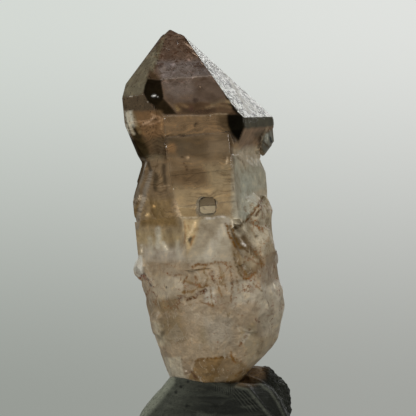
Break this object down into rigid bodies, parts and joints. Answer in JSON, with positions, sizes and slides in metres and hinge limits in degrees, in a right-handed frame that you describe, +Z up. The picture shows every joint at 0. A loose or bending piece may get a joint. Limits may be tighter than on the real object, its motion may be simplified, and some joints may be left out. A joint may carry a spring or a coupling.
{
  "type": "skeletal quartz crystal",
  "caption": "Single smoky skeletal quartz crystal: a pointed hexagonal head over a narrower, pale, broken body, stood upright in a pressed lump of grey putty.",
  "frame": {"origin": "on the table, under the middle of the specimen and its putty", "axes": "+Z up from the putty's flat bottom, the crystal's long axis leaning 5.6 degrees from it towards -X and 1.3 degrees towards +Y; -Y is the side with the large front cap face"},
  "size_m": [0.0376, 0.0348, 0.0926],
  "materials": {
    "smoky_quartz": "clear, smoky brown at the point, milky and rust-stained below",
    "grey_putty": "matt, pressed and folded"
  },
  "bodies": {
    "root": {"quartz_crystal": "smoky_quartz", "putty_base": "grey_putty"}
  },
  "joints": []
}
